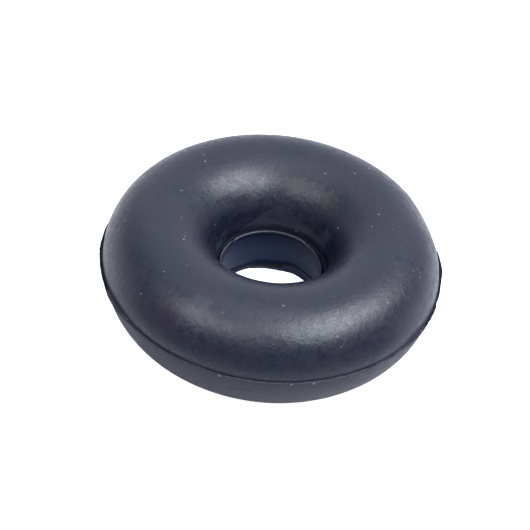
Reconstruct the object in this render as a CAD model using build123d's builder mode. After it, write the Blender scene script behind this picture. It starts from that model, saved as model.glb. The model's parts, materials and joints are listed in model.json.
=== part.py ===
from build123d import *
import os

# Rubber bush of a stabilizer bar mount, moulded as one doughnut: a domed crown above the mould's
# parting plane, a skirt that rounds in to a flat base below it, and a throat that runs down into
# the bore for the mount's stud. The base lies on Z = 0 and the bore runs along Z. Lengths are in
# millimetres.

# Body
body_diameter = 50.0  # at the parting plane, without the flash
skirt_height = 8.0  # base up to the parting plane
crown_height = 8.4  # parting plane up to the top of the dome
shoulder_reach = 7.6  # outer wall in to the crest of the dome
skirt_reach = 3.6  # outer wall in to the edge of the flat base

# Bore
bore_diameter = 15.6  # straight wall round the stud
step_width = 0.6  # ledge left by the core pin between the throat and the bore
step_drop = 0.8  # ledge below the parting plane
step_wall = 0.3  # upright wall between the throat's arc and the ledge
step_chamfer = 0.25
lip_height = 1.5  # inward lip at the foot of the bore
lip_reach = 0.3

# Fin of flash squeezed out between the mould halves
flash_reach = 0.75  # proud of the outer wall
flash_root = 0.35  # thickness where it leaves the wall
flash_edge = 0.15  # thickness at its torn edge

# Places that follow from the sizes
body_radius = body_diameter / 2
crest_radius = body_radius - shoulder_reach
base_radius = body_radius - skirt_reach
top_height = skirt_height + crown_height
bore_radius = bore_diameter / 2
throat_radius = bore_radius + step_width
lip_radius = bore_radius - lip_reach
step_height = skirt_height - step_drop
throat_foot = step_height + step_wall
flash_radius = body_radius + flash_reach
flash_top = skirt_height + flash_root / 2
flash_bottom = skirt_height - flash_root / 2

os.makedirs("parts", exist_ok=True)

with BuildPart() as rubber_bush:
    # Half section of the moulding, turned round the bore's axis
    with BuildSketch(Plane.XZ):
        with BuildLine():
            # Dome: out over the shoulder to the parting plane, and in down the throat
            TangentArc((crest_radius, top_height), (body_radius, flash_top), tangent=(1, 0))
            EllipticalCenterArc(
                (crest_radius, throat_foot),
                crest_radius - throat_radius,
                top_height - throat_foot,
                90,
                arc_size=90,
            )
            # Ledge, bore, lip and flat base
            Polyline(
                (throat_radius, throat_foot),
                (throat_radius, step_height),
                (bore_radius, step_height),
                (bore_radius, lip_height),
                (lip_radius, lip_height),
                (lip_radius, 0),
                (base_radius, 0),
            )
            # Skirt: upright at the fin of flash, and rounding in to the base
            TangentArc((body_radius, flash_bottom), (base_radius, 0), tangent=(0, -1))
            Polyline(
                (body_radius, flash_bottom),
                (flash_radius, skirt_height - flash_edge / 2),
                (flash_radius, skirt_height + flash_edge / 2),
                (body_radius, flash_top),
            )
        make_face()
    revolve(axis=Axis.Z)

    # Broken edge of the ledge
    step_circles = rubber_bush.edges().filter_by_position(Axis.Z, step_height, step_height)
    chamfer(step_circles.sort_by(SortBy.RADIUS)[0], step_chamfer)

rubber_bush.part.label = "rubber_bush"
export_step(rubber_bush.part, "parts/rubber_bush.step")
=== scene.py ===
import json
import math

import bpy
from bpy.props import FloatProperty, FloatVectorProperty, IntProperty, PointerProperty
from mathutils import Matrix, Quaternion, Vector


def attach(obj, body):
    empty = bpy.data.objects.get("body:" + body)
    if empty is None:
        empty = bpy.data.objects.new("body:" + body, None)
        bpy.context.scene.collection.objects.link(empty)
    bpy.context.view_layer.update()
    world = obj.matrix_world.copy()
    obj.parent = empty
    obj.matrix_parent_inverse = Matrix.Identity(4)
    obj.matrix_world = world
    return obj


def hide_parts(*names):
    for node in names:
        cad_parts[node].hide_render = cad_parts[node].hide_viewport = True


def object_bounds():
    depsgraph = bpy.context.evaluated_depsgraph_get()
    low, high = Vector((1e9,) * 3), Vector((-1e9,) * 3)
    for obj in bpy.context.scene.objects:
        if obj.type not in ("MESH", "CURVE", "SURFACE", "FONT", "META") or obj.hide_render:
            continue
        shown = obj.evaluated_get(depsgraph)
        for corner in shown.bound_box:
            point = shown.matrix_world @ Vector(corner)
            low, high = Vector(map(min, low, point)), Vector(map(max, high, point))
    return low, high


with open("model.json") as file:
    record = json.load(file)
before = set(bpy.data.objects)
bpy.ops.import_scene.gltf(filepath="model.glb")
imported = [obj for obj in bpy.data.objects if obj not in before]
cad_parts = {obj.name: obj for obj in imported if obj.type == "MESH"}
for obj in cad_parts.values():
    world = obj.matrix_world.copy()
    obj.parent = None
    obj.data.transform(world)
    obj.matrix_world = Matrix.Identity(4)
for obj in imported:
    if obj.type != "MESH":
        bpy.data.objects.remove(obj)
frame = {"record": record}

bl_info = {
    "name": "Stabilizer Bar Mount Bush",
    "version": (1, 0, 0),
    "blender": (4, 5, 0),
    "location": "3D Viewport > Sidebar > Bush",
    "description": "Builds a moulded rubber bush with its flash, and a pale stage for it",
    "category": "Object",
}

# The bush is one rubber moulding. Its half section is drawn as an outline, and Geometry Nodes
# turn it round the bore's axis, pull the torn flash in and out by bearing, and give the rubber
# its slight unevenness. Lengths are in metres, with the base on Z = 0 and the bore along Z.
# A bearing is an angle round the axis in degrees, from +X towards +Y.

cad_low, cad_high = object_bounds()
BORE = next(mount for mount in frame["record"]["mounts"] if mount["name"] == "bore")

MILLIMETRE = 0.001
FULL_TURN = 2 * math.pi

# What a point of the outline takes part in, as attributes from 0 to 1
MARKS = ("flash", "bead", "lip", "lip_top", "dome", "uneven", "torn", "wall", "skirt")

# Sizes that the turning goes by, each a property of the same name in BushSizes
TURNING_SIZES = (
    "Crest Radius", "Flash Reach", "Bead Height", "Bead Lean", "Lip Wander", "Lip Height",
    "Dome Sink", "Unevenness", "Seed",
)

# Points along the long curves of the outline
DOME_POINTS = 35
SKIRT_POINTS = 22
THROAT_POINTS = 37

# How much of the flash was left on by the trimming, by bearing: (bearing, share of the longest).
# Each list by bearing starts at -180 and closes on itself at 180.
FLASH_LEFT = (
    (-180, 0.82), (-176, 0.84), (-172, 0.73), (-160, 0.73), (-156, 0.80), (-153, 0.98),
    (-146, 0.98), (-141, 0.80), (-135, 0.62), (-110, 0.46), (-90, 0.50), (-60, 0.42), (-34, 0.66),
    (-29, 0.80), (-25, 0.72), (-21, 0.62), (-16, 0.66), (-14, 0.62), (-12, 0.55), (-11, 0.42),
    (-10, 0.42), (-8, 0.55), (-2, 0.56), (-1, 0.62), (2, 0.72), (3.6, 0.86), (4.4, 1.00),
    (15.4, 1.00), (16, 0.25), (17.5, 0.12), (35, 0.10), (60, 0.35), (95, 0.55), (130, 0.30),
    (158, 0.42), (166, 0.50), (168, 0.53), (170, 0.70), (172, 0.78), (175, 0.78), (178, 0.73),
)

# Which material the flash takes, by bearing: 1 is the dark matte one, and 0 the skirt's paler one
FLASH_DARK = (
    (-180, 1.0), (-157, 1.0), (-155, 0.0), (-24, 0.0), (-22, 1.0), (16, 1.0), (18, 0.0), (164, 0.0),
    (166, 1.0),
)

# How high the bead round the bore stands, by bearing: (bearing, share of its full height)
BEAD_LEFT = (
    (-180, 1.0), (-60, 0.8), (10, 0.7), (40, 0.9), (43, 0.3), (46, 0.8), (50, 0.4), (54, 1.0),
    (90, 1.0), (138, 0.95), (142, 0.5), (146, 1.0),
)

# How far the bead leans in over the bore, by bearing: (bearing, share of its furthest lean)
BEAD_LEAN = (
    (-180, 0.2), (-40, 0.5), (0, 1.0), (28, 1.0), (42, 0.6), (60, 0.15), (90, 0.0), (115, 0.0),
    (140, 0.2),
)

# Where the torn edge of the lip stands at the foot of the bore, by bearing: a half is its mean
# radius, and less is further into the bore
LIP_EDGE = (
    (-180, 0.50), (-120, 0.60), (-60, 0.45), (0, 0.62), (50, 0.77), (60, 0.65), (70, 0.28),
    (80, 0.09), (90, 0.09), (100, 0.15), (110, 0.34), (120, 0.65), (130, 0.71), (150, 0.60),
)

# How much of the lip's height was left on, by bearing
LIP_LEFT = (
    (-180, 0.70), (-90, 0.50), (-20, 0.80), (0, 0.86), (66, 0.86), (74, 0.66), (80, 0.36),
    (90, 0.26), (130, 0.30), (160, 0.50),
)

# How far the dome sank where the mould was opened hot, by bearing
DOME_SUNK = (
    (-180, 0.0), (-50, 0.0), (-22, 0.4), (6, 0.4), (19, 1.0), (38, 0.0),
)

# Single pale specks that lie on the dome
SPECKS = (
    (-0.0145, 0.0043, 0.0161), (-0.0121, 0.0130, 0.0163), (-0.0117, 0.0115, 0.0163),
    (0.0065, 0.0126, 0.0158), (0.0109, 0.0128, 0.0163), (0.0149, 0.0041, 0.0162),
    (0.0170, -0.0135, 0.0150), (0.0024, -0.0181, 0.0163),
)

# Pale specks on the skirt, just under the flash
EDGE_SPECKS = (
    (-0.0054, -0.0244, 0.0074), (0.0048, -0.0245, 0.0075), (0.0079, -0.0237, 0.0074),
)

# Dark blots cut out of the throat's patch of painted light, and pale strips of painted light beside
# it: (centre, size)
THROAT_BLOTS = (
    ((0.0030, 0.0088, 0.0109), 0.0014), ((0.0048, 0.0077, 0.0102), 0.0017),
    ((0.0062, 0.0062, 0.0098), 0.0015),
)
THROAT_LIGHT_STRIPS = (
    ((0.0068, 0.0053, 0.0088), 0.0014), ((0.0079, 0.0044, 0.0104), 0.0018),
)

# Dried wax by the throat, and the ridges that stand up in it: (centre, size)
STAINS = (
    ((0.0022, 0.0112, 0.0145), 0.0022), ((0.0076, 0.0080, 0.0142), 0.0024),
)
STAIN_RIDGES = (
    ((0.0030, 0.0118, 0.0149), 0.0007), ((0.0047, 0.0114, 0.0150), 0.0009),
    ((0.0063, 0.0109, 0.0152), 0.0007), ((0.0075, 0.0098, 0.0150), 0.0008),
)

# Talc on the dome's shoulder, whose sparkle is partly painted glints of the highlights: (centre,
# size)
TALC_AND_GLINT_SMEARS = (
    ((0.0108, -0.0183, 0.0152), 0.0022), ((0.0211, -0.0063, 0.0144), 0.0014),
)

# Where the skin is paler: (centre, size, strength). The first is partly a pale rub and partly
# painted highlight, widening the front highlight to the left
PALE_RUBS_AND_HIGHLIGHT = (
    ((-0.0096, -0.0199, 0.0146), 0.0040, 0.05), ((-0.0075, 0.0020, 0.0073), 0.0030, 0.1),
)

# How strongly the skin's other marks show, painted light among them
THROAT_LIGHT_STRENGTH = 0.65
STAIN_STRENGTH = 0.55
TALC_AND_GLINT_STRENGTH = 1.1
SPECK_STRENGTH = 0.3
NICK_STRENGTH = 0.08
BLOOM_STRENGTH = 0.004

# Where the skirt is paler, at its left and right front sides: (centre, size). Partly rubbed, and
# partly painted reflection of the bright floor
PALE_RUBS_AND_FLOOR_REFLECTION = (
    ((-0.0195, -0.0152, 0.0052), 0.0060), ((0.0190, -0.0152, 0.0055), 0.0060),
)

# The curved nick on the dome: the centre of its ring, and the middle of the part that shows
NICK_CENTRE = (0.0270, -0.0070, 0.0150)
NICK_MIDDLE = (0.0190, -0.0104, 0.0149)

# One small step of a torn edge, and how far the torn grooves cut under what is above them
TEAR = 0.0001
UNDERCUT = 0.00006

# Waves to the metre in the ragged flash, in the torn lip, and in the shallow hollows
FLASH_WAVES = 1600
LIP_WAVES = 900
BROAD_HOLLOW_WAVES = 170
SMALL_HOLLOW_WAVES = 520

# The least flash left anywhere, as a share of the longest
LEAST_FLASH = 0.02

# From the crest out to where the dome sank its whole depth
SINK_REACH = 0.006

# The two softboxes: bearing and elevation in degrees, and width and depth in metres
KEY_BOX = {"bearing": -23, "elevation": 56, "size": (0.64, 0.35), "tint": (0.93, 0.98, 1.0)}
FILL_BOX = {"bearing": 228, "elevation": 48, "size": (0.50, 0.28), "tint": (1.0, 0.98, 1.0)}

# Colour of the room's light, and the place that the camera is aimed at
ROOM_TINT = (0.94, 0.97, 1.08)
CAMERA_AIM = (-0.00091, 0, 0.00720)


class BushSizes(bpy.types.PropertyGroup):
    """Sizes of the moulding."""

    flash_radius: FloatProperty(
        name="Flash radius", description="From the bore's axis to the longest flash",
        default=(cad_high.x - cad_low.x) / 2, unit="LENGTH", precision=5,
    )
    height: FloatProperty(
        name="Height", description="From the flat base to the top of the dome",
        default=cad_high.z - cad_low.z, unit="LENGTH", precision=5,
    )
    bore_radius: FloatProperty(
        name="Bore radius", description="Straight wall round the stud",
        default=BORE["dims"]["r_mm"] * MILLIMETRE, unit="LENGTH", precision=5,
    )
    flash_reach: FloatProperty(
        name="Flash reach", description="How far the longest flash stands proud of the body",
        default=0.00075, unit="LENGTH", precision=5,
    )
    flash_thickness: FloatProperty(
        name="Flash thickness", description="Thickness of the flash where it leaves the body",
        default=0.00035, unit="LENGTH", precision=5,
    )
    parting_height: FloatProperty(
        name="Parting height", description="From the base up to where the mould halves met",
        default=0.008, unit="LENGTH", precision=5,
    )
    shoulder_reach: FloatProperty(
        name="Shoulder reach", description="From the outer wall in to the crest of the dome",
        default=0.0076, unit="LENGTH", precision=5,
    )
    skirt_reach: FloatProperty(
        name="Skirt reach", description="From the outer wall in to the edge of the flat base",
        default=0.0036, unit="LENGTH", precision=5,
    )
    base_round: FloatProperty(
        name="Base round", description="Radius of the worn corner between the skirt and the base",
        default=0.0005, unit="LENGTH", precision=5,
    )
    ledge_width: FloatProperty(
        name="Ledge width", description="Ledge between the throat and the bore",
        default=0.0006, unit="LENGTH", precision=5,
    )
    ledge_height: FloatProperty(
        name="Ledge height", description="From the base up to the ledge",
        default=0.0072, unit="LENGTH", precision=5,
    )
    throat_foot: FloatProperty(
        name="Throat foot", description="From the base up to the foot of the throat's curve",
        default=0.0075, unit="LENGTH", precision=5,
    )
    lip_height: FloatProperty(
        name="Lip height", description="Height of the inward lip at the foot of the bore",
        default=0.0015, unit="LENGTH", precision=5,
    )
    lip_reach: FloatProperty(
        name="Lip reach", description="How far the lip stands into the bore",
        default=0.0003, unit="LENGTH", precision=5,
    )
    bead_height: FloatProperty(
        name="Bead height", description="How high the bead stands where none of it is missing",
        default=0.00025, unit="LENGTH", precision=5,
    )
    bead_lean: FloatProperty(
        name="Bead lean", description="How far the bead leans in over the bore at its worst",
        default=0.00028, unit="LENGTH", precision=5,
    )
    lip_wander: FloatProperty(
        name="Lip wander", description="How far the torn edge of the lip strays from true round",
        default=0.0008, unit="LENGTH", precision=5,
    )
    dome_sink: FloatProperty(
        name="Dome sink", description="How deep the dome's shoulder sank in the hot mould",
        default=0.00028, unit="LENGTH", precision=5,
    )
    unevenness: FloatProperty(
        name="Unevenness", description="Depth of the shallow hollows that the moulding shrank into",
        default=0.00008, unit="LENGTH", precision=6,
    )
    steps: IntProperty(
        name="Steps", description="Faces in one turn round the axis", default=580, min=24,
    )
    seed: FloatProperty(
        name="Seed", description="Picks the pattern of the unevenness and of the torn flash",
        default=3.4,
    )

    @property
    def body_radius(self):
        """The outer wall, which the flash stands out from."""
        return self.flash_radius - self.flash_reach

    @property
    def crest_radius(self):
        """The top of the dome."""
        return self.body_radius - self.shoulder_reach

    @property
    def throat_radius(self):
        """The foot of the throat, behind the ledge."""
        return self.bore_radius + self.ledge_width

    @property
    def lip_radius(self):
        """The inner edge of the lip."""
        return self.bore_radius - self.lip_reach


class RubberFinish(bpy.types.PropertyGroup):
    """Colours and gloss of the rubber."""

    cool_colour: FloatVectorProperty(
        name="Cool skin", description="Moulded skin where it is cooler in hue",
        default=(0.0017, 0.0056, 0.0165), subtype="COLOR",
    )
    warm_colour: FloatVectorProperty(
        name="Warm skin", description="Moulded skin where it is warmer in hue",
        default=(0.007, 0.0045, 0.0165), subtype="COLOR",
    )
    skirt_colour: FloatVectorProperty(
        name="Skirt", description="Rubbed rubber below the parting plane",
        default=(0.005, 0.007, 0.024), subtype="COLOR",
    )
    rosy_colour: FloatVectorProperty(
        name="Rosy skirt", description="Warmer patches of the skirt",
        default=(0.013, 0.009, 0.020), subtype="COLOR",
    )
    scuff_colour: FloatVectorProperty(
        name="Scuffs", description="Streaks rubbed into the skirt",
        default=(0.040, 0.041, 0.052), subtype="COLOR",
    )
    wall_colour: FloatVectorProperty(
        name="Bore wall", description="Duller skin of the bore",
        default=(0.0005, 0.004, 0.022), subtype="COLOR",
    )
    # Painted reflection: the paler foot of the bore stands in for the bright floor reflected in it
    wall_foot_reflection_colour: FloatVectorProperty(
        name="Bore wall foot", description="Worn skin at the foot of the bore",
        default=(0.010, 0.017, 0.044), subtype="COLOR",
    )
    # Also the colour of the painted shade in the crevice, the notch, the groove and on the lip's
    # top
    torn_and_shade_colour: FloatVectorProperty(
        name="Torn flash", description="Raw rubber of the torn flash",
        default=(0.005, 0.006, 0.013), subtype="COLOR",
    )
    dust_colour: FloatVectorProperty(
        name="Dust", description="Specks of dust and talc",
        default=(0.30, 0.32, 0.36), subtype="COLOR",
    )
    # Painted light: the paler patch and strips on the back wall of the throat
    throat_light_colour: FloatVectorProperty(
        name="Throat patch", description="Paler rubber where the flows met in the throat",
        default=(0.018, 0.020, 0.032), subtype="COLOR",
    )
    stain_colour: FloatVectorProperty(
        name="Stain", description="Dried release wax by the throat",
        default=(0.014, 0.0155, 0.010), subtype="COLOR",
    )
    roughness: FloatProperty(
        name="Roughness", description="Roughness of the moulded skin",
        default=0.31, min=0, max=1, subtype="FACTOR",
    )


class StageLook(bpy.types.PropertyGroup):
    """Floor, lights and camera."""

    floor_colour: FloatVectorProperty(
        name="Floor", description="Colour of the pale floor behind the bush",
        default=(0.66, 0.67, 0.72), subtype="COLOR",
    )
    # Painted shade: the floor darkens towards the camera, for the dim side that the bush reflects
    floor_front_shade_colour: FloatVectorProperty(
        name="Floor in front", description="Colour of the floor towards the camera",
        default=(0.20, 0.20, 0.22), subtype="COLOR",
    )
    floor_glow: FloatProperty(
        name="Floor glow", description="Glow that only the camera sees, against the bush's shadow",
        default=0.86, min=0,
    )
    room_brightness: FloatProperty(
        name="Room brightness", description="Pale walls and ceiling all round", default=1.0, min=0,
    )
    key_brightness: FloatProperty(
        name="Key brightness", description="Large softbox high on the right", default=9.0, min=0,
    )
    fill_brightness: FloatProperty(
        name="Fill brightness", description="Smaller softbox on the left of the camera",
        default=3.7, min=0,
    )
    camera_distance: FloatProperty(
        name="Camera distance", description="From the centre of the base to the camera",
        default=0.2967, unit="LENGTH",
    )
    camera_elevation: FloatProperty(
        name="Camera elevation", description="Height of the camera above the horizon",
        default=math.radians(42.98), subtype="ANGLE", unit="ROTATION",
    )
    camera_roll: FloatProperty(
        name="Camera roll", description="Turn of the camera about its own line of sight",
        default=math.radians(6.6), subtype="ANGLE", unit="ROTATION",
    )
    camera_lens: FloatProperty(
        name="Camera lens", description="Focal length in millimetres", default=132.8,
    )


class Wiring:
    """Adds nodes to a node tree and joins their sockets."""

    def __init__(self, tree):
        self.tree = tree

    def add(self, kind, inputs=None, **settings):
        """Adds a node. inputs gives values or sockets by name or index."""
        node = self.tree.nodes.new(kind)
        for name, value in settings.items():
            setattr(node, name, value)
        for name, value in (inputs or {}).items():
            self.feed(node.inputs[name], value)
        return node

    def feed(self, socket, value):
        """Joins a socket to another one, or sets its value. A colour gets an alpha of 1."""
        if isinstance(value, bpy.types.NodeSocket):
            self.tree.links.new(value, socket)
        elif socket.type == "RGBA":
            socket.default_value = (*value, 1.0)
        else:
            socket.default_value = value

    def math(self, operation, *values):
        """One sum of numbers."""
        node = self.add("ShaderNodeMath", dict(enumerate(values)), operation=operation)
        return node.outputs[0]

    def chain(self, operation, values):
        """The same sum over two or more numbers, taken from the left."""
        result, *others = values
        for value in others:
            result = self.math(operation, result, value)
        return result

    def plus(self, *values):
        """All the numbers added up."""
        return self.chain("ADD", values)

    def minus(self, first, second):
        """The first number less the second."""
        return self.math("SUBTRACT", first, second)

    def times(self, *values):
        """All the numbers multiplied."""
        return self.chain("MULTIPLY", values)

    def most(self, *values):
        """The largest of the numbers."""
        return self.chain("MAXIMUM", values)

    def rest(self, mask):
        """What a mask leaves out."""
        return self.minus(1.0, mask)

    def vector_math(self, operation, inputs, output="Vector"):
        """One sum of vectors, put out as a vector or as a value."""
        node = self.add("ShaderNodeVectorMath", inputs, operation=operation)
        return node.outputs[output]

    def scaled(self, vector, factor):
        """A vector times a number."""
        return self.vector_math("SCALE", {0: vector, "Scale": factor})

    def distance(self, first, second):
        """How far apart two points are."""
        return self.vector_math("DISTANCE", {0: first, 1: second}, "Value")

    def axes(self, vector):
        """The X, Y and Z of a vector, by name."""
        return self.add("ShaderNodeSeparateXYZ", {"Vector": vector}).outputs

    def vector(self, **axes):
        """A vector from some of its X, Y and Z; the others are 0."""
        return self.add("ShaderNodeCombineXYZ", axes).outputs["Vector"]

    def noise(self, place, scale, detail, roughness):
        """Smooth noise round a half."""
        node = self.add(
            "ShaderNodeTexNoise",
            {"Vector": place, "Scale": scale, "Detail": detail, "Roughness": roughness},
        )
        return node.outputs[0]

    def band(self, value, low, high, to_low=0.0, to_high=1.0):
        """Smooth step of a value from one range to another, held at its ends."""
        ranges = {"From Min": low, "From Max": high, "To Min": to_low, "To Max": to_high}
        node = self.add(
            "ShaderNodeMapRange", {"Value": value, **ranges}, interpolation_type="SMOOTHSTEP"
        )
        return node.outputs["Result"]

    def mixed(self, factor, first, second):
        """A colour part of the way from the first to the second."""
        node = self.add("ShaderNodeMix", data_type="RGBA")
        self.feed(node.inputs["Factor"], factor)
        # The sockets named A and B come in number, vector and then colour pairs
        self.feed(node.inputs[6], first)
        self.feed(node.inputs[7], second)
        return node.outputs[2]


class Outline:
    """A closed half section as radius and height, with the marks of each point."""

    def __init__(self):
        self.points = []
        self.marks = {mark: [] for mark in MARKS}

    def point(self, radius, height, **marks):
        """Adds one point. The marks that aren't given are 0."""
        self.points.append((radius, height))
        for mark in MARKS:
            self.marks[mark].append(marks.get(mark, 0.0))

    def line(self, radius, height, count, **marks):
        """Evenly spaced points from the last one to this one."""
        start_radius, start_height = self.points[-1]
        for step in range(1, count + 1):
            part = step / count
            self.point(
                start_radius + (radius - start_radius) * part,
                start_height + (height - start_height) * part,
                **marks,
            )

    def arc(self, centre, reach, start, end, count, fullness=1.0, **marks):
        """Points of an elliptical arc; reach is its half width and half height.

        A fullness above 1 swells the arc towards its corner.
        """
        for step in range(count + 1):
            angle = math.radians(start + (end - start) * step / count)
            across, up = (
                math.copysign(abs(part) ** (1 / fullness), part)
                for part in (math.cos(angle), math.sin(angle))
            )
            self.point(centre[0] + reach[0] * across, centre[1] + reach[1] * up, **marks)


def draw_dome(outline, sizes):
    """From the crest out over the shoulder to the crevice above the flash."""
    overhang = 0.00016
    curl = 0.00006
    foot = sizes.parting_height + sizes.flash_thickness / 2 + curl
    reach = (sizes.shoulder_reach + overhang, sizes.height - foot)
    outline.arc((sizes.crest_radius, foot), reach, 90, 0, DOME_POINTS, uneven=1, dome=1)
    outline.arc((sizes.body_radius + overhang - curl, foot), (curl, curl), -45, -90, 1)


def draw_flash(outline, sizes):
    """The crevice under the dome, and the fin of flash that stands out below it."""
    plane = sizes.parting_height
    root = sizes.flash_thickness / 2
    crevice = 0.00015
    # The crevice takes the dark matte material of the torn flash: painted shade under the dome
    for height in (0.9, 0.5):
        outline.point(sizes.body_radius - crevice, plane + root * height, torn=1)
    # Each point is a share of the reach, and a height as a share of half the thickness
    shares = (0.04, 0.2, 0.4, 0.6, 0.8)
    upper = [(share, 0.5 - 0.3 * share) for share in shares]
    rim = [(0.95, 0.15), (1.0, -0.05), (0.95, -0.3)]
    lower = [(share, 0.6 * share - 1) for share in reversed(shares)]
    for share, height in upper + rim + lower:
        radius = sizes.body_radius + sizes.flash_reach * share
        outline.point(radius, plane + root * height, flash=share, torn=1)


def draw_skirt(outline, sizes):
    """Upright under the flash, rounding in to the flat base."""
    top = sizes.parting_height - sizes.flash_thickness / 2
    reach = sizes.skirt_reach
    radius = (reach**2 + top**2) / (2 * reach)
    centre_radius = sizes.body_radius - radius
    corner = sizes.base_round
    meeting = math.degrees(math.asin((top - corner) / (radius - corner)))
    side = (centre_radius, top)
    outline.arc(side, (radius, radius), 0, -meeting, SKIRT_POINTS, uneven=0.6, skirt=1)
    corner_radius = centre_radius + (radius - corner) * math.cos(math.radians(meeting))
    outline.arc((corner_radius, corner), (corner, corner), -meeting, -90, 4, skirt=1)


def draw_base(outline, sizes):
    """The flat base, in to the lip at the foot of the bore."""
    round_off = 0.00008
    edge_radius = sizes.lip_radius + round_off
    outline.line(edge_radius, 0, 8, skirt=1)
    outline.arc((edge_radius, round_off), (round_off, round_off), -120, -180, 2, lip=1, wall=1)


def draw_lip(outline, sizes):
    """Up the inner edge of the lip, and over its torn top to the wall of the bore."""
    bore_radius = sizes.bore_radius
    lip_radius = sizes.lip_radius
    lip_top = sizes.lip_height
    for part in (0.25, 0.5, 0.75, 0.9):
        outline.point(lip_radius, lip_top * part, lip=1, lip_top=part, wall=1)
    # The lip's torn top takes the dark matte material: raw rubber, with painted shade where the lip
    # meets the wall
    for radius, height, lip in (
        (lip_radius + TEAR * 0.4, lip_top * 0.98, 0.9),
        (lip_radius + TEAR * 1.4, lip_top + TEAR, 0.5),
        (bore_radius, lip_top + TEAR * 1.6, 0),
        (bore_radius + TEAR * 0.4, lip_top + TEAR * 2.6, 0),
    ):
        outline.point(radius, height, lip=lip, lip_top=1, torn=1)
    outline.point(bore_radius, lip_top + TEAR * 3.2, lip_top=1, wall=1)


def draw_wall(outline, sizes):
    """Up the straight bore to the notch under the bead."""
    outline.line(sizes.bore_radius, sizes.ledge_height - TEAR * 5, 10, uneven=0.3, wall=1)
    # The notch takes the dark matte material of the torn flash: painted shade under the bead
    for drop in (4, 1):
        outline.point(sizes.bore_radius + UNDERCUT, sizes.ledge_height - TEAR * drop, torn=1)


def draw_bead(outline, sizes):
    """Over the bead, and through the groove to the throat, laid dark and matte as painted shade."""
    bore_radius = sizes.bore_radius
    throat_radius = sizes.throat_radius
    ledge = sizes.ledge_height
    bead_rise = 0.00006
    bead_reach = (0.00018, 0.00017)
    bead = (bore_radius - TEAR * 1.2, ledge + bead_rise)
    outline.arc(bead, bead_reach, 220, -20, 10, bead=1)
    for radius, height in (
        (bore_radius + TEAR, ledge - TEAR * 2.5),
        (throat_radius - TEAR * 2, ledge - TEAR * 4.5),
        (throat_radius, ledge - TEAR * 3.5),
        (throat_radius + UNDERCUT, sizes.throat_foot - TEAR * 1.2),
    ):
        outline.point(radius, height, torn=1)


def draw_throat(outline, sizes):
    """From the ledge up the throat, back to the crest."""
    reach = (sizes.crest_radius - sizes.throat_radius, sizes.height - sizes.throat_foot)
    foot = (sizes.crest_radius, sizes.throat_foot)
    outline.arc(foot, reach, 180, 92, THROAT_POINTS, fullness=1.05, uneven=1)


def bush_outline(sizes):
    """The whole half section of the moulding."""
    outline = Outline()
    draw_dome(outline, sizes)
    draw_flash(outline, sizes)
    draw_skirt(outline, sizes)
    draw_base(outline, sizes)
    draw_lip(outline, sizes)
    draw_wall(outline, sizes)
    draw_bead(outline, sizes)
    draw_throat(outline, sizes)
    return outline


def outline_mesh(outline, crest_radius):
    """The outline as a closed loop of edges, centred on the crest's radius."""
    mesh = bpy.data.meshes.new("bush_outline")
    points = [(radius - crest_radius, -height, 0) for radius, height in outline.points]
    count = len(points)
    mesh.from_pydata(points, [(i, (i + 1) % count) for i in range(count)], [])
    for mark, values in outline.marks.items():
        mesh.attributes.new(mark, "FLOAT", "POINT").data.foreach_set("value", values)
    return mesh


def set_curve(node, places, handle):
    """Gives a Float Curve its points, from bearings and shares, and ends it as it started."""
    curve = node.mapping.curves[0]
    closed = (*places, (180, places[0][1]))
    for index, (bearing, share) in enumerate(closed):
        place = (bearing / 360 + 0.5, share)
        if index < 2:
            curve.points[index].location = place
        else:
            curve.points.new(*place)
    for point in curve.points:
        point.handle_type = handle
    node.mapping.update()


class TurnedWiring(Wiring):
    """Wiring of the turned moulding, with what its pulls go by."""

    def __init__(self, tree):
        super().__init__(tree)
        self.given = self.add("NodeGroupInput").outputs
        self.position = self.add("GeometryNodeInputPosition").outputs["Position"]
        self.normal = self.add("GeometryNodeInputNormal").outputs["Normal"]
        axes = self.axes(self.position)
        bearing = self.math("ARCTAN2", axes["Y"], axes["X"])
        self.turn = self.plus(self.math("DIVIDE", bearing, FULL_TURN), 0.5)
        self.flat = self.vector(X=axes["X"], Y=axes["Y"])
        self.outwards = self.vector_math("NORMALIZE", {0: self.flat})

    def mark(self, name):
        """How much each point takes part in one of the marks."""
        node = self.add("GeometryNodeInputNamedAttribute", {"Name": name}, data_type="FLOAT")
        return node.outputs["Attribute"]

    def by_bearing(self, places, handle="VECTOR"):
        """A share that follows the bearing."""
        node = self.add("ShaderNodeFloatCurve", {"Value": self.turn})
        set_curve(node, places, handle)
        return node.outputs[0]

    def waver(self, waves, detail):
        """Seeded noise over the moulding, with this many waves to the metre."""
        node = self.add(
            "ShaderNodeTexNoise",
            {"Vector": self.position, "W": self.given["Seed"], "Scale": waves, "Detail": detail},
            noise_dimensions="4D",
        )
        return node.outputs[0]

    def step(self, kind, geometry, **inputs):
        """Passes the geometry through one node."""
        return self.add(kind, {"Geometry": geometry, **inputs}).outputs["Geometry"]


def flash_pull(wiring):
    """Draws the flash in to what the trimming and the tearing left of it."""
    ragged = wiring.times(wiring.minus(wiring.waver(FLASH_WAVES, 3), 0.5), 0.22)
    left = wiring.math("MINIMUM", wiring.plus(wiring.by_bearing(FLASH_LEFT), ragged), 1.0)
    left = wiring.most(left, LEAST_FLASH)
    short = wiring.times(wiring.minus(left, 1.0), wiring.given["Flash Reach"])
    return wiring.scaled(wiring.outwards, wiring.times(short, wiring.mark("flash")))


def bead_pulls(wiring):
    """Sinks the bead where some of it is missing, and leans it in over the bore."""
    missing = wiring.minus(wiring.by_bearing(BEAD_LEFT), 1.0)
    sink = wiring.times(missing, wiring.given["Bead Height"], wiring.mark("bead"))
    lean = wiring.times(wiring.by_bearing(BEAD_LEAN), wiring.given["Bead Lean"])
    lean = wiring.times(lean, wiring.mark("bead"), -1.0)
    return wiring.vector(Z=sink), wiring.scaled(wiring.outwards, lean)


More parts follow.
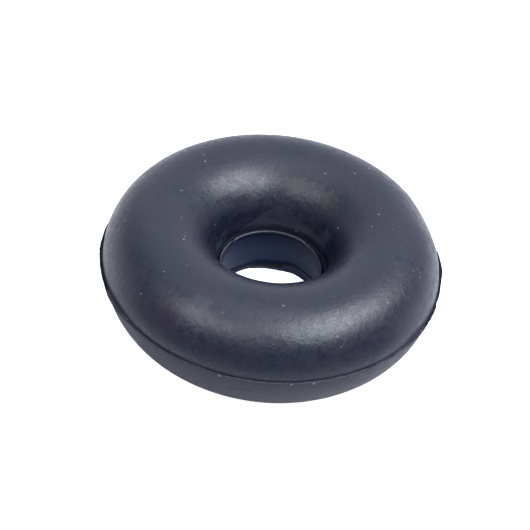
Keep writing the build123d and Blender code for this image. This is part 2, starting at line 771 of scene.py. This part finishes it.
def lip_pulls(wiring):
    """Moves the lip's torn edge in and out, and drops its top where some of it is missing."""
    ragged = wiring.times(wiring.plus(wiring.waver(LIP_WAVES, 2), -0.5), 0.25)
    stray = wiring.plus(ragged, wiring.minus(wiring.by_bearing(LIP_EDGE), 0.5))
    shift = wiring.times(stray, wiring.given["Lip Wander"], wiring.mark("lip"))
    missing = wiring.rest(wiring.by_bearing(LIP_LEFT))
    drop = wiring.times(missing, wiring.mark("lip_top"), wiring.given["Lip Height"], -1.0)
    return wiring.scaled(wiring.outwards, shift), wiring.vector(Z=drop)


def hollow_pull(wiring):
    """Sinks the shallow hollows that the moulding shrank into."""
    small = wiring.times(wiring.waver(SMALL_HOLLOW_WAVES, 2), 0.35)
    hollows = wiring.plus(wiring.waver(BROAD_HOLLOW_WAVES, 1), small)
    depth = wiring.times(hollows, wiring.given["Unevenness"], wiring.mark("uneven"), -1.0)
    return wiring.scaled(wiring.normal, depth)


def dome_pull(wiring):
    """Sinks the dome's shoulder where the mould was opened hot."""
    crest = wiring.given["Crest Radius"]
    away = wiring.vector_math("LENGTH", {0: wiring.flat}, "Value")
    shoulder = wiring.plus(crest, SINK_REACH)
    sinking = wiring.band(away, crest, shoulder, 0.0, wiring.given["Dome Sink"])
    sinking = wiring.times(sinking, wiring.mark("dome"))
    depth = wiring.times(wiring.by_bearing(DOME_SUNK, "AUTO_CLAMPED"), sinking, -1.0)
    return wiring.scaled(wiring.normal, depth)


def turning_tree():
    """Geometry Nodes that turn an outline into the moulding."""
    tree = bpy.data.node_groups.new("Turned Moulding", "GeometryNodeTree")
    sockets = tree.interface
    sockets.new_socket("Moulding", in_out="OUTPUT", socket_type="NodeSocketGeometry")
    inputs = {
        "NodeSocketGeometry": ["Outline"],
        "NodeSocketInt": ["Steps"],
        "NodeSocketFloat": TURNING_SIZES,
        "NodeSocketMaterial": ["Skin", "Torn Flash And Shade", "Bore Wall", "Skirt"],
    }
    for kind, names in inputs.items():
        for name in names:
            sockets.new_socket(name, in_out="INPUT", socket_type=kind)
    wiring = TurnedWiring(tree)
    given = wiring.given
    section = wiring.add("GeometryNodeMeshToCurve", {"Mesh": given["Outline"]})
    path = wiring.add(
        "GeometryNodeCurvePrimitiveCircle",
        {"Resolution": given["Steps"], "Radius": given["Crest Radius"]},
        mode="RADIUS",
    )
    turned = wiring.add(
        "GeometryNodeCurveToMesh",
        {"Curve": path.outputs["Curve"], "Profile Curve": section.outputs["Curve"]},
    )
    geometry = turned.outputs["Mesh"]
    for pull in (
        flash_pull(wiring),
        *bead_pulls(wiring),
        *lip_pulls(wiring),
        hollow_pull(wiring),
        dome_pull(wiring),
    ):
        geometry = wiring.step("GeometryNodeSetPosition", geometry, Offset=pull)
    geometry = wiring.step("GeometryNodeSetShadeSmooth", geometry)
    geometry = wiring.step("GeometryNodeRealizeInstances", geometry)
    on_flash = wiring.math("GREATER_THAN", wiring.mark("flash"), 0.05)
    # The flash takes the skirt's paler material where the list by bearing is under a half, and the
    # dark matte one elsewhere
    rubbed = wiring.times(wiring.math("LESS_THAN", wiring.by_bearing(FLASH_DARK), 0.5), on_flash)
    for material, amount in (
        ("Skin", 1.0),
        ("Bore Wall", wiring.mark("wall")),
        ("Torn Flash And Shade", wiring.minus(wiring.mark("torn"), rubbed)),
        ("Skirt", wiring.plus(wiring.mark("skirt"), rubbed)),
    ):
        chosen = wiring.math("GREATER_THAN", amount, 0.5)
        geometry = wiring.step(
            "GeometryNodeSetMaterial", geometry, Selection=chosen, Material=given[material]
        )
    wiring.add("NodeGroupOutput", {"Moulding": geometry})
    return tree


def as_plain_mesh(piece, tree, values):
    """Runs a tree on the piece with these inputs, and keeps the result as its mesh."""
    modifier = piece.modifiers.new(tree.name, "NODES")
    modifier.node_group = tree
    for item in tree.interface.items_tree:
        if item.in_out == "INPUT" and item.name in values:
            modifier[item.identifier] = values[item.name]
    evaluated = piece.evaluated_get(bpy.context.evaluated_depsgraph_get())
    mesh = bpy.data.meshes.new_from_object(evaluated)
    drawn = piece.data
    piece.modifiers.remove(modifier)
    piece.data = mesh
    mesh.name = piece.name
    bpy.data.meshes.remove(drawn)


def new_group(name, places, sizes, outputs=("Mask",)):
    """An empty shader node group with its sockets, and the wiring to fill it.

    places names its vector inputs, and sizes gives its number inputs with their defaults.
    """
    tree = bpy.data.node_groups.new(name, "ShaderNodeTree")
    for label in places:
        tree.interface.new_socket(label, in_out="INPUT", socket_type="NodeSocketVector")
    for label, value in sizes.items():
        socket = tree.interface.new_socket(label, in_out="INPUT", socket_type="NodeSocketFloat")
        socket.default_value = value
    for label in outputs:
        tree.interface.new_socket(label, in_out="OUTPUT", socket_type="NodeSocketFloat")
    wiring = Wiring(tree)
    return tree, wiring, wiring.add("NodeGroupInput").outputs


def rubber_grain_group():
    """Height of the mould's blasted surface, fine with a coarser swell."""
    tree, wiring, given = new_group(
        "Rubber Grain", ["Place"], {"Fineness": 4200.0}, ["Height", "Speckle"]
    )

    def layer(share):
        scale = wiring.times(given["Fineness"], share)
        return wiring.noise(given["Place"], scale, detail=2.0, roughness=0.6)

    height = wiring.plus(layer(1.0), wiring.times(layer(0.3), 2.4))
    speckle = wiring.minus(layer(0.7), 0.5)
    wiring.add("NodeGroupOutput", {"Height": height, "Speckle": speckle})
    return tree


def dust_group():
    """Sparse round specks."""
    sizes = {"Spacing": 0.0010, "Radius": 0.00015, "Share": 0.5}
    tree, wiring, given = new_group("Dust Specks", ["Place"], sizes)
    scale = wiring.math("DIVIDE", 1.0, given["Spacing"])
    cells = wiring.add("ShaderNodeTexVoronoi", {"Vector": given["Place"], "Scale": scale})
    away = wiring.times(cells.outputs["Distance"], given["Spacing"])
    pick = wiring.add("ShaderNodeSeparateColor", {"Color": cells.outputs["Color"]}).outputs
    radius = wiring.times(given["Radius"], wiring.plus(pick["Green"], 0.5))
    near = wiring.rest(wiring.band(away, 0.0, radius))
    chosen = wiring.math("LESS_THAN", pick["Red"], given["Share"])
    strength = wiring.math("POWER", pick["Blue"], 1.6)
    wiring.add("NodeGroupOutput", {"Mask": wiring.times(near, chosen, strength)})
    return tree


def cloud_group():
    """Soft clouds, from 0 to 1."""
    tree, wiring, given = new_group("Rubber Clouds", ["Place"], {"Size": 0.006})
    scale = wiring.math("DIVIDE", 1.0, given["Size"])
    clouds = wiring.noise(given["Place"], scale, detail=4.0, roughness=0.55)
    wiring.add("NodeGroupOutput", {"Mask": wiring.band(clouds, 0.34, 0.66)})
    return tree


def scuff_group():
    """Streaks that run round the bush."""
    sizes = {"Length": 0.0030, "Width": 0.00022}
    tree, wiring, given = new_group("Round Scuffs", ["Place"], sizes)
    axes = wiring.axes(given["Place"])
    along = wiring.math("DIVIDE", 1.0, given["Length"])
    across = wiring.math("DIVIDE", 1.0, given["Width"])
    squares = [wiring.times(axes[name], axes[name]) for name in "XY"]
    radius = wiring.math("SQRT", wiring.plus(*squares))
    stretched = wiring.vector(
        X=wiring.times(axes["X"], along),
        Y=wiring.times(axes["Y"], along),
        Z=wiring.times(wiring.minus(axes["Z"], radius), across),
    )
    streaks = wiring.noise(stretched, 1.0, detail=3.0, roughness=0.6)
    wiring.add("NodeGroupOutput", {"Mask": wiring.band(streaks, 0.42, 0.76)})
    return tree


def smear_group():
    """A smear round one point, with a ragged edge."""
    tree, wiring, given = new_group("Smear", ["Place", "Centre"], {"Size": 0.004})
    away = wiring.distance(given["Place"], given["Centre"])
    ragged = wiring.noise(given["Place"], 900.0, detail=4.0, roughness=0.7)
    reach = wiring.math("DIVIDE", away, given["Size"])
    level = wiring.minus(wiring.times(ragged, 1.9), reach)
    wiring.add("NodeGroupOutput", {"Mask": wiring.band(level, 0.0, 0.8)})
    return tree


def nick_group():
    """A thin curved nick: the part of a ring round one point that lies towards another."""
    sizes = {"Length": 0.003, "Width": 0.00016}
    tree, wiring, given = new_group("Curved Nick", ["Place", "Centre", "Middle"], sizes)
    away = wiring.distance(given["Place"], given["Centre"])
    reach = wiring.distance(given["Middle"], given["Centre"])
    off = wiring.math("ABSOLUTE", wiring.minus(away, reach))
    line = wiring.rest(wiring.band(off, 0.0, given["Width"]))
    half = wiring.times(given["Length"], 0.5)
    along = wiring.math("DIVIDE", wiring.distance(given["Place"], given["Middle"]), half)
    fade = wiring.rest(wiring.band(along, 0.5, 1.0))
    wiring.add("NodeGroupOutput", {"Mask": wiring.times(line, fade)})
    return tree


class MaterialWiring(Wiring):
    """Wiring of one material, with its shader and the effect groups that it may use."""

    def __init__(self, name, groups=None):
        self.material = bpy.data.materials.new(name)
        self.material.use_nodes = True
        super().__init__(self.material.node_tree)
        self.groups = groups
        self.tree.nodes.clear()
        self.place = self.add("ShaderNodeTexCoord").outputs["Object"]
        self.shader = self.add("ShaderNodeBsdfPrincipled")
        self.add("ShaderNodeOutputMaterial", {"Surface": self.shader.outputs[0]})

    def use(self, group, **inputs):
        """Places one of the groups, and gives its outputs."""
        node = self.add("ShaderNodeGroup", node_tree=self.groups[group])
        for name, value in {"Place": self.place, **inputs}.items():
            self.feed(node.inputs[name], value)
        return node.outputs

    def smear(self, centre, size):
        """Mask of one smear."""
        return self.use("smear", Centre=centre, Size=size)["Mask"]

    def speck(self, centre, core, edge, strength):
        """Mask of one round speck, at its full strength out to its core."""
        return self.band(self.distance(self.place, centre), core, edge, strength, 0.0)

    def bump(self, height, strength, depth):
        """Bumps the surface by a height."""
        inputs = {"Strength": strength, "Distance": depth, "Height": height}
        bump = self.add("ShaderNodeBump", inputs)
        self.feed(self.shader.inputs["Normal"], bump.outputs["Normal"])

    def finished(self, values):
        """The material, with these values or sockets on its shader."""
        for name, value in values.items():
            self.feed(self.shader.inputs[name], value)
        return self.material


def painted_throat_light(skin):
    """Painted light in the throat: a paler triangle on its back wall, with dark blots cut out of
    it.
    """
    axes = skin.axes(skin.place)
    apex, left_slope, right_slope = 0.0114, -0.68, 0.13
    left = skin.plus(axes["Z"], skin.times(axes["X"], left_slope))
    right = skin.plus(axes["Z"], skin.times(axes["X"], right_slope))
    inside_left = skin.rest(skin.band(left, apex - 0.0002, apex))
    inside_right = skin.rest(skin.band(right, apex - 0.0006, apex + 0.0004))
    behind = skin.band(axes["Y"], 0.003, 0.0045)
    blots = [skin.rest(skin.smear(*blot)) for blot in THROAT_BLOTS]
    return skin.times(inside_left, inside_right, behind, *blots)


def skin_tone(skin, finish, clouds):
    """Colour of the clean skin: two hues in clouds, the painted light of the throat's patch and
    strips, and the stains.
    """
    tone = skin.mixed(clouds, finish.cool_colour, finish.warm_colour)
    # The patch and the strips are painted light on the throat's back wall
    strips = [skin.smear(*strip) for strip in THROAT_LIGHT_STRIPS]
    patch = skin.most(skin.times(painted_throat_light(skin), THROAT_LIGHT_STRENGTH), *strips)
    tone = skin.mixed(patch, tone, finish.throat_light_colour)
    for stain in STAINS:
        mask = skin.times(skin.smear(*stain), STAIN_STRENGTH)
        tone = skin.mixed(mask, tone, finish.stain_colour)
    return tone


def skin_dust_and_glints(skin, bloom):
    """Mask of what shows pale on the skin: dust, the nick, talc with painted glints, specks, rubbed
    patches with painted highlight, and bloom.
    """
    drifts = skin.use("clouds", Size=0.016)["Mask"]
    share = skin.plus(skin.times(drifts, 0.35), 0.03)
    dust = skin.use("dust", Share=share)["Mask"]
    nick = skin.use("nick", Centre=NICK_CENTRE, Middle=NICK_MIDDLE, Length=0.0034)["Mask"]
    nick = skin.times(nick, NICK_STRENGTH)
    sparkle = skin.use("dust", Spacing=0.0004, Radius=0.00017, Share=1.0)["Mask"]
    # Talc sparkle: dust specks, and painted glints in the highlight
    talc = skin.most(*(skin.smear(*place) for place in TALC_AND_GLINT_SMEARS))
    talc = skin.times(talc, sparkle, TALC_AND_GLINT_STRENGTH)
    specks = [skin.speck(centre, 0.00006, 0.00022, SPECK_STRENGTH) for centre in SPECKS]
    # The first of these also paints highlight on the front of the dome
    rubs_and_painted_light = [
        skin.times(skin.smear(centre, size), strength) for centre, size, strength in PALE_RUBS_AND_HIGHLIGHT
    ]
    return skin.most(dust, nick, talc, *specks, *rubs_and_painted_light, skin.times(bloom, BLOOM_STRENGTH))


def skin_material(finish, groups):
    """Satin skin as it left the mould."""
    skin = MaterialWiring("moulded_skin", groups)
    clouds = skin.use("clouds")["Mask"]
    bloom = skin.use("clouds", Size=0.0011)["Mask"]
    grain = skin.use("grain")
    tone = skin_tone(skin, finish, clouds)
    tone = skin.mixed(skin_dust_and_glints(skin, bloom), tone, finish.dust_colour)
    rough = skin.plus(
        skin.times(clouds, 0.04),
        finish.roughness,
        skin.times(bloom, 0.1),
        skin.times(grain["Speckle"], 0.4),
    )
    ridges = [skin.times(skin.smear(*ridge), 2.0) for ridge in STAIN_RIDGES]
    skin.bump(skin.plus(grain["Height"], *ridges), strength=0.44, depth=0.00004)
    return skin.finished({"Base Color": tone, "Roughness": rough})


def wall_material(finish, groups):
    """Duller skin of the bore, which the core pin left, paler at its foot as painted reflection of
    the floor.
    """
    wall = MaterialWiring("bore_wall", groups)
    # Paler towards the foot: painted reflection of the bright floor below the bore
    worn = wall.band(wall.axes(wall.place)["Z"], 0.0065, 0.003)
    tone = wall.mixed(worn, finish.wall_colour, finish.wall_foot_reflection_colour)
    wall.bump(wall.use("grain")["Height"], strength=0.3, depth=0.00002)
    return wall.finished({"Base Color": tone, "Roughness": 0.3, "Specular IOR Level": 0.12})


def torn_and_shade_material(finish, groups):
    """Raw dull rubber of the torn flash, also laid in the crevice, the notch, the groove and the
    lip's top as painted shade.
    """
    torn = MaterialWiring("torn_flash_and_shade", groups)
    dust = torn.use("dust", Share=0.05)["Mask"]
    tone = torn.mixed(dust, finish.torn_and_shade_colour, finish.dust_colour)
    torn.bump(torn.use("grain")["Height"], strength=0.6, depth=0.00005)
    return torn.finished({"Base Color": tone, "Roughness": 0.7, "Specular IOR Level": 0.12})


def skirt_material(finish, groups):
    """Rubbed rubber of the skirt and the base, dustier towards the flash."""
    skirt = MaterialWiring("rubbed_skirt", groups)
    scuffs = skirt.use("scuffs")["Mask"]
    clouds = skirt.use("clouds", Size=0.0020)["Mask"]
    blotches = skirt.use("clouds", Size=0.0012)["Mask"]
    streaks = skirt.times(scuffs, skirt.plus(skirt.times(clouds, 0.8), 0.2))
    patchy = skirt.plus(blotches, 0.3)
    # The paler sides are partly rubbed and partly painted reflection of the bright floor
    rubs_and_painted_light = [skirt.times(skirt.smear(*rub), patchy, 0.7) for rub in PALE_RUBS_AND_FLOOR_REFLECTION]
    worn = skirt.most(streaks, skirt.times(blotches, 0.25), *rubs_and_painted_light)
    tone = skirt.mixed(clouds, finish.rosy_colour, finish.skirt_colour)
    tone = skirt.mixed(worn, tone, finish.scuff_colour)
    share = skirt.band(skirt.axes(skirt.place)["Z"], 0.0066, 0.0078, 0.15, 0.6)
    dust = skirt.use("dust", Spacing=0.0009, Share=share)["Mask"]
    specks = [skirt.speck(centre, 0.0001, 0.0003, 0.6) for centre in EDGE_SPECKS]
    tone = skirt.mixed(skirt.most(dust, *specks), tone, finish.dust_colour)
    rough = skirt.plus(skirt.times(scuffs, 0.1), 0.45)
    grain = skirt.use("grain", Fineness=3500.0)["Height"]
    skirt.bump(skirt.plus(grain, scuffs), strength=0.6, depth=0.00006)
    return skirt.finished({"Base Color": tone, "Roughness": rough, "Specular IOR Level": 0.36})


class MakeMoulding(bpy.types.Operator):
    """Build the rubber bush, with its flash and its materials"""

    bl_idname = "rubber_bush.moulding"
    bl_label = "Rubber Bush"

    def execute(self, context):
        sizes = context.scene.bush_sizes
        finish = context.scene.rubber_finish
        groups = {
            "grain": rubber_grain_group(),
            "dust": dust_group(),
            "clouds": cloud_group(),
            "scuffs": scuff_group(),
            "smear": smear_group(),
            "nick": nick_group(),
        }
        drawn = outline_mesh(bush_outline(sizes), sizes.crest_radius)
        piece = bpy.data.objects.new("moulded_bush", drawn)
        context.scene.collection.objects.link(piece)
        values = {name: getattr(sizes, name.lower().replace(" ", "_")) for name in TURNING_SIZES}
        values["Steps"] = sizes.steps
        values["Skin"] = skin_material(finish, groups)
        values["Torn Flash And Shade"] = torn_and_shade_material(finish, groups)
        values["Bore Wall"] = wall_material(finish, groups)
        values["Skirt"] = skirt_material(finish, groups)
        as_plain_mesh(piece, turning_tree(), values)
        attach(piece, "root")
        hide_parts("rubber_bush")
        return {"FINISHED"}


def make_floor(look):
    """A pale disc just under the base. It glows for the camera alone, so it stays even."""
    gap = 0.00002
    bpy.ops.mesh.primitive_circle_add(
        vertices=96, radius=0.6, fill_type="NGON", location=(0, 0, -gap)
    )
    floor = bpy.context.object
    floor.name = "floor"
    paint = MaterialWiring("pale_floor")
    # Darker towards the camera: painted shade of the dim camera side, seen in the bush's
    # reflections
    behind = paint.band(paint.axes(paint.place)["Y"], -0.035, 0.015)
    close = paint.band(paint.distance(paint.place, (0, 0, 0)), 0.05, 0.03)
    tone = paint.mixed(paint.most(behind, close), look.floor_front_shade_colour, look.floor_colour)
    seen = paint.add("ShaderNodeLightPath").outputs["Is Camera Ray"]
    material = paint.finished(
        {
            "Base Color": tone,
            "Roughness": 0.9,
            "Specular IOR Level": 0.0,
            "Emission Color": (1, 1, 1),
            "Emission Strength": paint.times(seen, look.floor_glow),
        }
    )
    floor.data.materials.append(material)


def make_softbox(name, brightness, bearing, elevation, size, tint):
    """A soft light turned towards the bush. bearing and elevation are in degrees."""
    distance = 0.6
    data = bpy.data.lights.new(name, "AREA")
    data.shape = "RECTANGLE"
    data.size, data.size_y = size
    data.color = tint
    data.energy = brightness * math.pi * size[0] * size[1]
    box = bpy.data.objects.new(name, data)
    turn = math.radians(bearing)
    rise = math.radians(elevation)
    level = distance * math.cos(rise)
    box.location = (level * math.cos(turn), level * math.sin(turn), distance * math.sin(rise))
    box.rotation_mode = "QUATERNION"
    box.rotation_quaternion = (-box.location).to_track_quat("-Z", "Y")
    box.visible_camera = False
    bpy.context.scene.collection.objects.link(box)


def make_camera(look):
    """The camera, in front of the bush and above it."""
    data = bpy.data.cameras.new("camera")
    data.lens = look.camera_lens
    data.clip_start = 0.01
    camera = bpy.data.objects.new("camera", data)
    bpy.context.scene.collection.objects.link(camera)
    distance, elevation = look.camera_distance, look.camera_elevation
    camera.location = (0, -distance * math.cos(elevation), distance * math.sin(elevation))
    facing = (Vector(CAMERA_AIM) - camera.location).to_track_quat("-Z", "Y")
    camera.rotation_mode = "QUATERNION"
    camera.rotation_quaternion = facing @ Quaternion((0, 0, 1), look.camera_roll)
    bpy.context.scene.camera = camera


def make_surroundings(look):
    """A pale room, brightest overhead, and dimmer behind the camera and at both sides."""
    world = bpy.data.worlds.new("pale_room")
    world.use_nodes = True
    world.node_tree.nodes.clear()
    wiring = Wiring(world.node_tree)
    axes = wiring.axes(wiring.add("ShaderNodeTexCoord").outputs["Generated"])
    walls = wiring.band(axes["Y"], -0.9, 0.5, 0.38, 1.20)
    ceiling = wiring.band(axes["Z"], 0.8, 1.0)
    right = wiring.band(axes["X"], 0.3, 0.9, 0.0, 0.44)
    above_floor = wiring.band(axes["Z"], 0.06, 0.26)
    left = wiring.times(wiring.band(axes["X"], -0.8, -0.3, 0.5, 0.0), above_floor)
    walls = wiring.times(walls, wiring.rest(wiring.plus(left, right)))
    brightness = wiring.times(wiring.plus(walls, ceiling), look.room_brightness)
    background = wiring.add("ShaderNodeBackground", {"Color": ROOM_TINT, "Strength": brightness})
    wiring.add("ShaderNodeOutputWorld", {"Surface": background.outputs[0]})
    bpy.context.scene.world = world


class MakeStage(bpy.types.Operator):
    """Set the pale floor, the soft lights and the camera"""

    bl_idname = "rubber_bush.stage"
    bl_label = "Stage"

    def execute(self, context):
        look = context.scene.stage_look
        context.scene.view_settings.view_transform = "Standard"
        make_surroundings(look)
        make_floor(look)
        make_softbox("key", look.key_brightness, **KEY_BOX)
        make_softbox("fill", look.fill_brightness, **FILL_BOX)
        make_camera(look)
        return {"FINISHED"}


class BushPanel(bpy.types.Panel):
    """The sizes, the finish and the stage, with the buttons that build them"""

    bl_label = "Rubber Bush"
    bl_idname = "VIEW3D_PT_rubber_bush"
    bl_space_type = "VIEW_3D"
    bl_region_type = "UI"
    bl_category = "Bush"

    def draw(self, context):
        layout = self.layout
        for group, operator in (
            (context.scene.bush_sizes, None),
            (context.scene.rubber_finish, MakeMoulding),
            (context.scene.stage_look, MakeStage),
        ):
            for name in group.__annotations__:
                layout.prop(group, name)
            if operator:
                layout.operator(operator.bl_idname)


CLASSES = (BushSizes, RubberFinish, StageLook, MakeMoulding, MakeStage, BushPanel)


def register():
    for item in CLASSES:
        bpy.utils.register_class(item)
    bpy.types.Scene.bush_sizes = PointerProperty(type=BushSizes)
    bpy.types.Scene.rubber_finish = PointerProperty(type=RubberFinish)
    bpy.types.Scene.stage_look = PointerProperty(type=StageLook)


def unregister():
    del bpy.types.Scene.stage_look
    del bpy.types.Scene.rubber_finish
    del bpy.types.Scene.bush_sizes
    for item in reversed(CLASSES):
        bpy.utils.unregister_class(item)


def main():
    register()
    bpy.ops.rubber_bush.moulding()
    bpy.ops.rubber_bush.stage()


if __name__ == "__main__":
    main()
